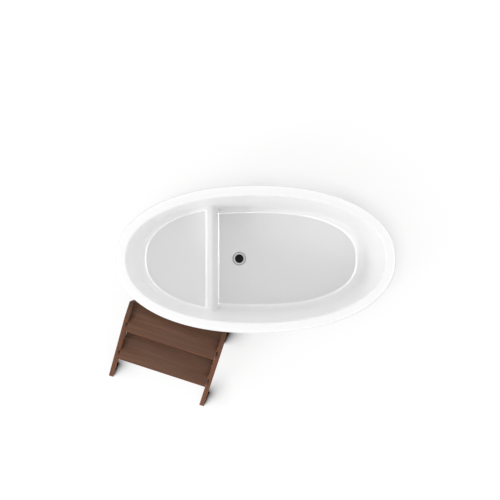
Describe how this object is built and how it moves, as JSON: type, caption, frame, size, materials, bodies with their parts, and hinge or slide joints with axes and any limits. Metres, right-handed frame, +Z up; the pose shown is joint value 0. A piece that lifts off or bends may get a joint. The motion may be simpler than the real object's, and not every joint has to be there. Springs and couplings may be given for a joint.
{
  "type": "plunge tub",
  "caption": "Oval plunge tub with a moulded white liner, an inside seat, a timber stave shell, a plugged floor waste and a two-tread timber step.",
  "frame": {"origin": "on the floor under the centre of the oval, on the underside of the middle bearer", "axes": "+X along the tub, away from the seat; +Y to the side where the waste comes out; +Z up"},
  "size_m": [1.4906, 1.1604, 0.7],
  "materials": {
    "white_moulding": "glossy white moulding",
    "brown_timber": "oiled brown timber with fine grain",
    "framing_timber": "planed, unfinished",
    "plywood": "sealed",
    "steel": "brushed",
    "chrome": "polished",
    "black_rubber": "matt",
    "pipe_plastic": "matt grey",
    "foam": "closed-cell foam"
  },
  "bodies": {
    "tub": {"liner": "white_moulding", "stave_01": "brown_timber", "stave_02": "brown_timber", "stave_03": "brown_timber", "stave_04": "brown_timber", "stave_05": "brown_timber", "stave_06": "brown_timber", "stave_07": "brown_timber", "stave_08": "brown_timber", "stave_09": "brown_timber", "stave_10": "brown_timber", "stave_11": "brown_timber", "stave_12": "brown_timber", "stave_13": "brown_timber", "stave_14": "brown_timber", "stave_15": "brown_timber", "stave_16": "brown_timber", "stave_17": "brown_timber", "stave_18": "brown_timber", "stave_19": "brown_timber", "stave_20": "brown_timber", "stave_21": "brown_timber", "stave_22": "brown_timber", "stave_23": "brown_timber", "stave_24": "brown_timber", "stave_25": "brown_timber", "stave_26": "brown_timber", "upper_hoop": "steel", "lower_hoop": "steel", "hoop_bolts": "steel", "upper_rib": "plywood", "lower_rib": "plywood", "deck": "plywood", "foam_pad": "foam", "left_bearer": "framing_timber", "middle_bearer": "framing_timber", "right_bearer": "framing_timber", "front_seat_rib": "plywood", "rear_seat_rib": "plywood", "waste_body": "chrome", "flange_gasket": "black_rubber", "waste_washer": "black_rubber", "waste_nut": "steel", "drain_elbow": "pipe_plastic", "drain_pipe": "pipe_plastic", "outlet_socket": "pipe_plastic", "pipe_clips": "plywood"},
    "stopper": {"plug_cap": "black_rubber", "plug_seal": "black_rubber", "plug_stem": "chrome"},
    "steps": {"left_plank": "brown_timber", "right_plank": "brown_timber", "left_post": "brown_timber", "right_post": "brown_timber", "lower_tread": "brown_timber", "upper_tread": "brown_timber", "rear_rail": "brown_timber", "step_screws": "steel", "step_feet": "black_rubber"}
  },
  "joints": [
    {"name": "plug_lift", "type": "slide", "parent": "tub", "child": "stopper", "axis": [0, 0, 1], "range_m": [0, 0.009]},
    {"name": "steps_pull", "type": "slide", "parent": "tub", "child": "steps", "axis": [-0.309, -0.9511, 0], "range_m": [0, 0.4]}
  ]
}
